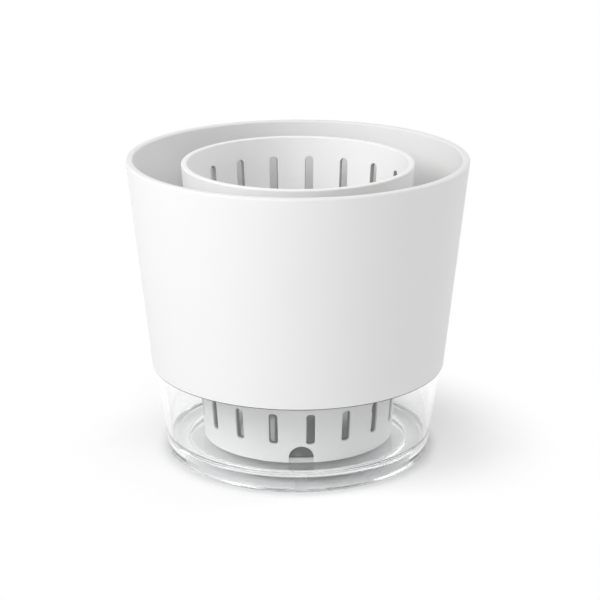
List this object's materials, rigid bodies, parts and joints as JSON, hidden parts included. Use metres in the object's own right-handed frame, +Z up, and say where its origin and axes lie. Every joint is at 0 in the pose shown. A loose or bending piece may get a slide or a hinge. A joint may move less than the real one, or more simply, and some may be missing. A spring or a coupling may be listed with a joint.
{
  "type": "orchid pot",
  "caption": "Tapered white orchid pot standing on a clear water reservoir, with a slotted white basket that lifts out of it.",
  "frame": {"origin": "centre of the reservoir's foot, on the table", "axes": "+Z up along the axis of the pot, -Y towards the front notch"},
  "size_m": [0.1498, 0.1498, 0.1342],
  "materials": {
    "clear_plastic": "clear, polished",
    "white_pot": "white, smooth satin",
    "white_basket": "white, satin"
  },
  "bodies": {
    "reservoir": {"reservoir": "clear_plastic"},
    "cover_pot": {"cover_pot": "white_pot"},
    "basket": {"basket": "white_basket"}
  },
  "joints": [
    {"name": "pot_lift", "type": "slide", "parent": "reservoir", "child": "cover_pot", "axis": [0, 0, 1], "range_m": [0, 0.06]},
    {"name": "basket_lift", "type": "slide", "parent": "cover_pot", "child": "basket", "axis": [0, 0, 1], "range_m": [0, 0.135]}
  ]
}
